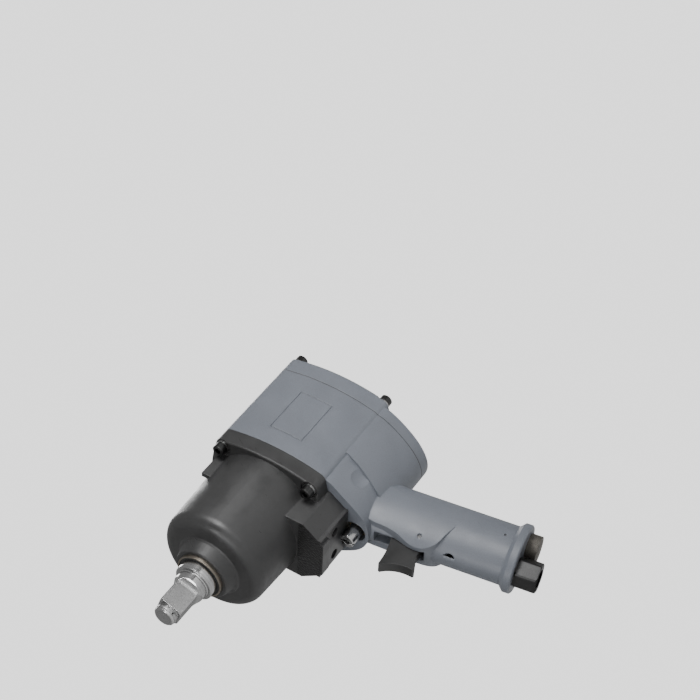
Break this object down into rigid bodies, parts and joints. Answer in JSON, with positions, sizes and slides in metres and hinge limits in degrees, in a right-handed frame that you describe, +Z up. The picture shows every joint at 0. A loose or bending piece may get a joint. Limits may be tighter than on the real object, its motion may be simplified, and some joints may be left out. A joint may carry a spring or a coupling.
{
  "type": "pneumatic impact wrench",
  "caption": "Pistol-grip air impact wrench with a square drive, twin-hammer case, vane motor, trigger throttle and push-through reverse rod.",
  "frame": {"origin": "on the drive axis, at the rear end of the square's flats", "axes": "-Y along the drive axis out of the nose, +Z up away from the handle, +X to the tool's left side"},
  "size_m": [0.103, 0.2493, 0.269],
  "materials": {
    "chromed_steel": "polished chromed steel with fine turning marks",
    "bronze": "plain sintered bronze",
    "black_rubber": "smooth black rubber",
    "case_coat": "satin charcoal coat over a cast case",
    "housing_paint": "satin blue-grey paint over cast aluminium",
    "black_screw": "blackened alloy steel",
    "spring_steel": "bright spring steel",
    "gasket_sheet": "compressed fibre sheet",
    "hardened_steel": "ground hardened steel, lightly oiled",
    "cast_plate": "machined cast iron",
    "bearing_steel": "polished bearing steel",
    "vane_laminate": "fabric-filled phenolic laminate",
    "trigger_coat": "satin dark grey coat",
    "brass": "turned brass",
    "inlet_steel": "satin grey steel",
    "sintered_metal": "rough sintered metal"
  },
  "bodies": {
    "housing": {"anvil_bushing": "bronze", "anvil_seal": "black_rubber", "thrust_washer": "hardened_steel", "hammer_case": "case_coat", "case_screws": "black_screw", "case_spring_washers": "spring_steel", "case_gasket": "gasket_sheet", "front_end_plate": "cast_plate", "front_bearing_outer_race": "bearing_steel", "motor_cylinder": "cast_plate", "cylinder_dowel": "hardened_steel", "rear_end_plate": "cast_plate", "rear_bearing_outer_race": "bearing_steel", "motor_housing": "housing_paint", "cover_gasket": "gasket_sheet", "rear_cover": "housing_paint", "cover_screws": "black_screw", "cover_spring_washers": "spring_steel", "plunger_bush": "brass", "trigger_stop_pin": "spring_steel", "valve_seat": "brass", "throttle_spring": "spring_steel", "inlet_bushing": "inlet_steel", "inlet_o_ring": "black_rubber", "inlet_screen": "spring_steel", "oil_port_screw": "black_screw", "exhaust_silencer": "sintered_metal", "silencer_pin": "spring_steel", "reverse_sleeve": "brass", "reverse_ball": "bearing_steel", "reverse_ball_spring": "spring_steel"},
    "anvil": {"anvil": "chromed_steel", "socket_ring": "spring_steel", "socket_ring_cushion": "black_rubber"},
    "rotor": {"rotor": "hardened_steel", "rotor_vanes": "vane_laminate", "hammer_cage": "hardened_steel", "hammer_pins": "hardened_steel", "front_bearing_inner_race": "bearing_steel", "rear_bearing_inner_race": "bearing_steel", "front_bearing_balls": "bearing_steel", "rear_bearing_balls": "bearing_steel"},
    "hammer_front": {"hammer_front": "hardened_steel"},
    "hammer_rear": {"hammer_rear": "hardened_steel"},
    "trigger": {"trigger": "trigger_coat", "trigger_plunger": "hardened_steel"},
    "throttle_valve": {"throttle_valve": "hardened_steel"},
    "reverse_spool": {"reverse_spool": "chromed_steel", "spool_o_rings": "black_rubber"}
  },
  "joints": [
    {"name": "anvil_spin", "type": "hinge", "parent": "housing", "child": "anvil", "pos_m": [0, 0, 0], "axis": [0, 1, 0], "continuous": true},
    {"name": "rotor_spin", "type": "hinge", "parent": "housing", "child": "rotor", "pos_m": [0, 0.158, 0], "axis": [0, 1, 0], "continuous": true},
    {"name": "hammer_front_swing", "type": "hinge", "parent": "rotor", "child": "hammer_front", "pos_m": [0, 0.0734, 0.027], "axis": [0, 1, 0], "range_deg": [-5, 5]},
    {"name": "hammer_rear_swing", "type": "hinge", "parent": "rotor", "child": "hammer_rear", "pos_m": [0, 0.0877, -0.027], "axis": [0, 1, 0], "range_deg": [-5, 5]},
    {"name": "trigger_pull", "type": "slide", "parent": "housing", "child": "trigger", "axis": [0, 1, 0], "range_m": [0, 0.004], "stiffness_N_per_m": 1200, "springref_m": -0.004},
    {"name": "throttle_tilt", "type": "hinge", "parent": "housing", "child": "throttle_valve", "pos_m": [0, 0.14393, -0.16589], "axis": [-1, 0, 0], "range_deg": [0, 4.58]},
    {"name": "reverse_slide", "type": "slide", "parent": "housing", "child": "reverse_spool", "axis": [0, 1, 0], "range_m": [0, 0.009]}
  ],
  "couplings": [
    {"joint": "throttle_tilt", "follows": "trigger_pull", "rad_per_m": 19.539}
  ]
}
